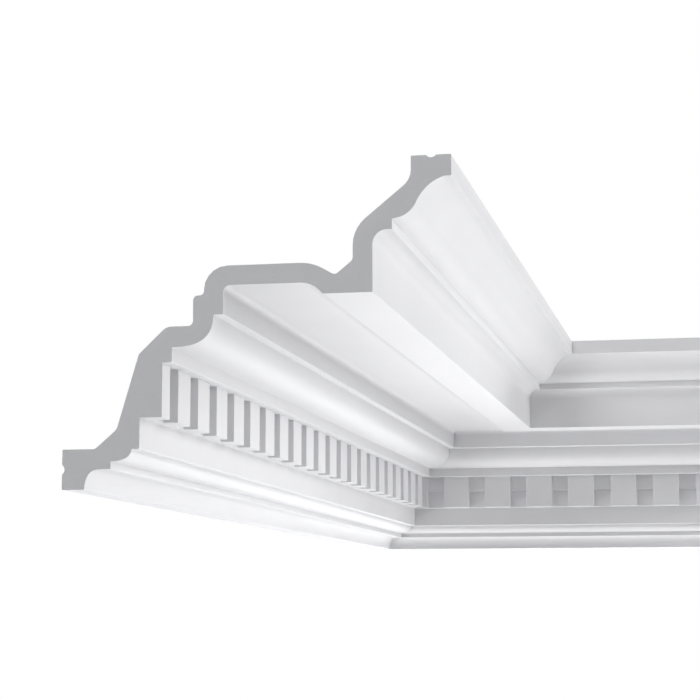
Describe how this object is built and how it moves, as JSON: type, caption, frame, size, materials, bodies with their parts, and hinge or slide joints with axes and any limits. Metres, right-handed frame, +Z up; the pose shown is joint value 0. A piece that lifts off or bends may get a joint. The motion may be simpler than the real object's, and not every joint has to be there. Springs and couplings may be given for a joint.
{
  "type": "dentil cornice at an inside corner",
  "caption": "White dentil cornice for a room's ceiling, mitred at an inside corner: a long length and a short return, hollow behind, cut square at both ends.",
  "frame": {"origin": "middle of the long length's flat wall face, between its glue groove and the top of the foot", "axes": "+X out of the long length's wall, +Y along the long length towards the corner, +Z up to the ceiling"},
  "size_m": [0.414, 1.044, 0.1965],
  "materials": {
    "primed_foam": "matt white factory primer on moulded rigid polyurethane foam, pale grey foam where it is sawn"
  },
  "bodies": {
    "root": {"long_length": "primed_foam", "return_length": "primed_foam"}
  },
  "joints": []
}
